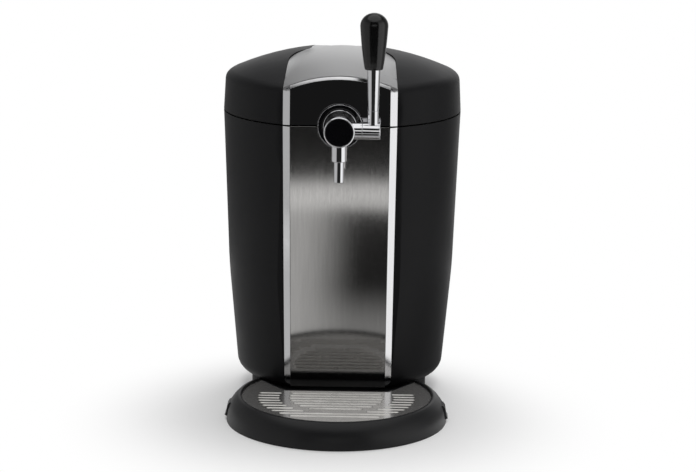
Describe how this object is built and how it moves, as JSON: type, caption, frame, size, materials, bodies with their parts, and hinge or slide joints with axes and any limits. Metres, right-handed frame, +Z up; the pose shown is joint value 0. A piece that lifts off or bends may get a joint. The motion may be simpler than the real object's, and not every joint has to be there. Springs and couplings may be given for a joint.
{
  "type": "mini keg beer dispenser",
  "caption": "Round countertop cooler for a small beer keg, with a hinged lid, a front tap with a side lever on a round rosette, brushed front panel and a pull-out drip tray",
  "frame": {"origin": "on the floor plane under the middle of the footprint, on the machine's middle plane", "axes": "+Z up, front with the tap and drip tray towards -Y, +X to the right seen from the front"},
  "size_m": [0.2704, 0.446, 0.4505],
  "materials": {
    "black_housing": "satin black moulded plastic",
    "black_tray": "satin black moulded plastic",
    "silver_panel": "silver paint on plastic, satin",
    "brushed_front": "brushed sheet, upright grain",
    "gloss_black": "mirror-gloss black",
    "bright_trim": "bright plated plastic",
    "dark_plated": "dark plated plastic, glossy",
    "polished_tap": "polished chrome plate",
    "black_handle": "glossy black grip",
    "dark_collar": "gloss black enamel",
    "grille_plate": "dark grey brushed aluminium",
    "chamber_wall": "plain drawn aluminium",
    "inner_plastic": "grey moulded plastic",
    "lid_inner": "off-white moulded plastic",
    "insulation": "off-white rigid foam",
    "black_rubber": "black rubber",
    "cooling_metal": "extruded aluminium",
    "cooling_ceramic": "white ceramic plates",
    "fan_plastic": "black moulded plastic",
    "steel_screws": "zinc-plated steel",
    "black_screws": "blackened steel",
    "circuit_board": "green solder mask",
    "winding": "lacquered winding and core",
    "brass_parts": "plain brass"
  },
  "bodies": {
    "base": {"base_plinth": "black_tray", "base_feet": "black_rubber", "base_screws": "steel_screws", "body_shell": "black_housing", "front_panel": "brushed_front", "body_trims": "bright_trim", "rosette_lower": "dark_plated", "body_deck": "inner_plastic", "chamber_liner": "chamber_wall", "keg_pad": "black_rubber", "chamber_foam": "insulation", "cold_block": "cooling_metal", "cooling_module": "cooling_ceramic", "temperature_sensor": "fan_plastic", "heat_sink": "cooling_metal", "fan_frame": "fan_plastic", "fan_screws": "steel_screws", "power_board": "circuit_board", "transformer": "winding", "rear_cover": "black_housing", "cover_screws": "black_screws", "power_inlet": "inner_plastic", "inlet_pins": "brass_parts", "switch_housing": "inner_plastic", "hinge_bracket": "steel_screws", "hinge_screws": "steel_screws", "hinge_pin": "steel_screws", "tap_shank": "polished_tap", "shank_gasket": "black_rubber", "shank_nut": "brass_parts", "tap_collar": "dark_collar", "tap_barrel": "polished_tap", "cap_bezel": "polished_tap", "tap_cap": "gloss_black", "spout_sleeve": "polished_tap", "spout_nozzle": "polished_tap", "coupler_head": "inner_plastic", "coupler_nozzle": "polished_tap", "gas_sleeve": "inner_plastic", "gas_cap": "inner_plastic"},
    "lid": {"lid_shell": "black_housing", "lid_top_panel": "silver_panel", "lid_front_panel": "gloss_black", "lid_trims": "bright_trim", "lid_arch_trim": "bright_trim", "rosette_upper": "dark_plated", "lid_liner": "lid_inner", "lid_foam": "insulation", "lid_seal": "black_rubber", "lid_hinge_arm": "inner_plastic"},
    "lever": {"lever_hub": "polished_tap", "lever_ferrule": "polished_tap", "lever_shaft": "polished_tap", "lever_handle": "black_handle"},
    "plunger": {"valve_plunger": "brass_parts"},
    "knob": {"pressure_knob": "inner_plastic"},
    "rotor": {"fan_rotor": "fan_plastic"},
    "rocker": {"switch_rocker": "inner_plastic"},
    "tray": {"drip_tray": "black_tray"},
    "grille": {"drip_grille": "grille_plate"}
  },
  "joints": [
    {"name": "lid_hinge", "type": "hinge", "parent": "base", "child": "lid", "pos_m": [0, 0.1985, 0.318], "axis": [-1, 0, 0], "range_deg": [0, 80]},
    {"name": "lever_turn", "type": "hinge", "parent": "base", "child": "lever", "pos_m": [0, -0.0955, 0.322], "axis": [1, 0, 0], "range_deg": [0, 60]},
    {"name": "plunger_slide", "type": "slide", "parent": "base", "child": "plunger", "axis": [0, -1, 0], "range_m": [0, 0.004]},
    {"name": "tray_slide", "type": "slide", "parent": "base", "child": "tray", "axis": [0, -1, 0], "range_m": [0, 0.13]},
    {"name": "grille_lift", "type": "slide", "parent": "tray", "child": "grille", "axis": [0, 0, 1], "range_m": [0, 0.02]},
    {"name": "fan_spin", "type": "hinge", "parent": "base", "child": "rotor", "pos_m": [0, 0.2055, 0.17], "axis": [0, 1, 0], "continuous": true},
    {"name": "rocker_turn", "type": "hinge", "parent": "base", "child": "rocker", "pos_m": [0.034, 0.2172, 0.046], "axis": [1, 0, 0], "range_deg": [-16, 0]},
    {"name": "knob_turn", "type": "hinge", "parent": "base", "child": "knob", "pos_m": [0, 0.0545, 0.347], "axis": [0, 0, 1], "range_deg": [0, 270]}
  ],
  "couplings": [
    {"joint": "plunger_slide", "follows": "lever_turn", "m_per_rad": 0.0038}
  ]
}
